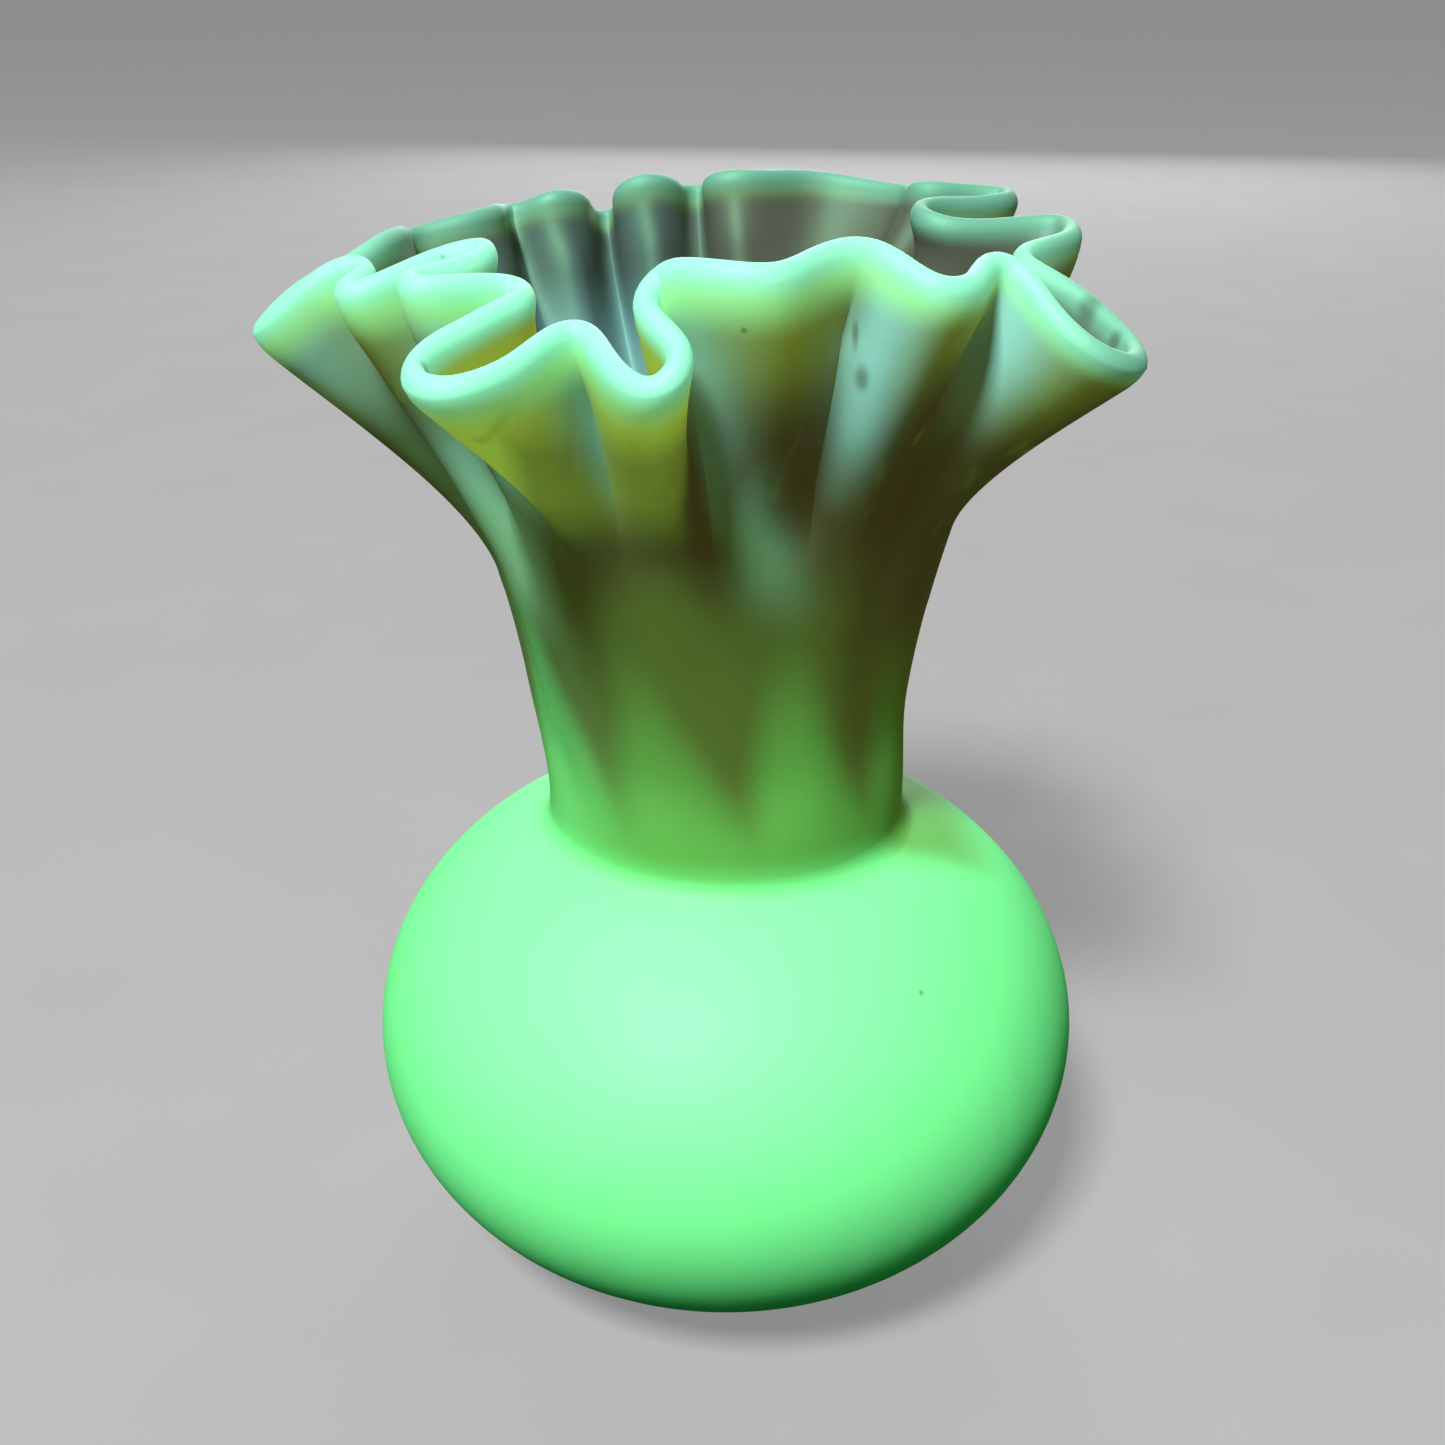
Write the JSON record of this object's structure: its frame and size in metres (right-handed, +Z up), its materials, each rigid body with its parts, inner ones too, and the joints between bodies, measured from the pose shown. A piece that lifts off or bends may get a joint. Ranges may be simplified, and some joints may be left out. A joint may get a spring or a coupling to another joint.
{
  "type": "ruffled glass vase",
  "caption": "Small satin glass posy vase: squat round bulb, waisted neck and a deeply crimped, flared rim with a polished lip.",
  "frame": {"origin": "centre of the flat ring that the vase rests on, in the plane of the table", "axes": "+Z up along the axis of the bulb and neck; -Y is the side with the long front lobes; -X is the side of the widest, lowest lobe"},
  "size_m": [0.0717, 0.0683, 0.1025],
  "materials": {
    "satin_green_glass": "satin, acid etched",
    "struck_glass": "satin, heat struck to olive and brown",
    "lip_glass": "fire polished"
  },
  "bodies": {
    "root": {"pontil_base": "satin_green_glass", "bulb_lower": "satin_green_glass", "bulb_belly": "satin_green_glass", "bulb_shoulder": "satin_green_glass", "neck": "struck_glass", "ruffled_frill": "struck_glass", "polished_lip": "lip_glass"}
  },
  "joints": []
}
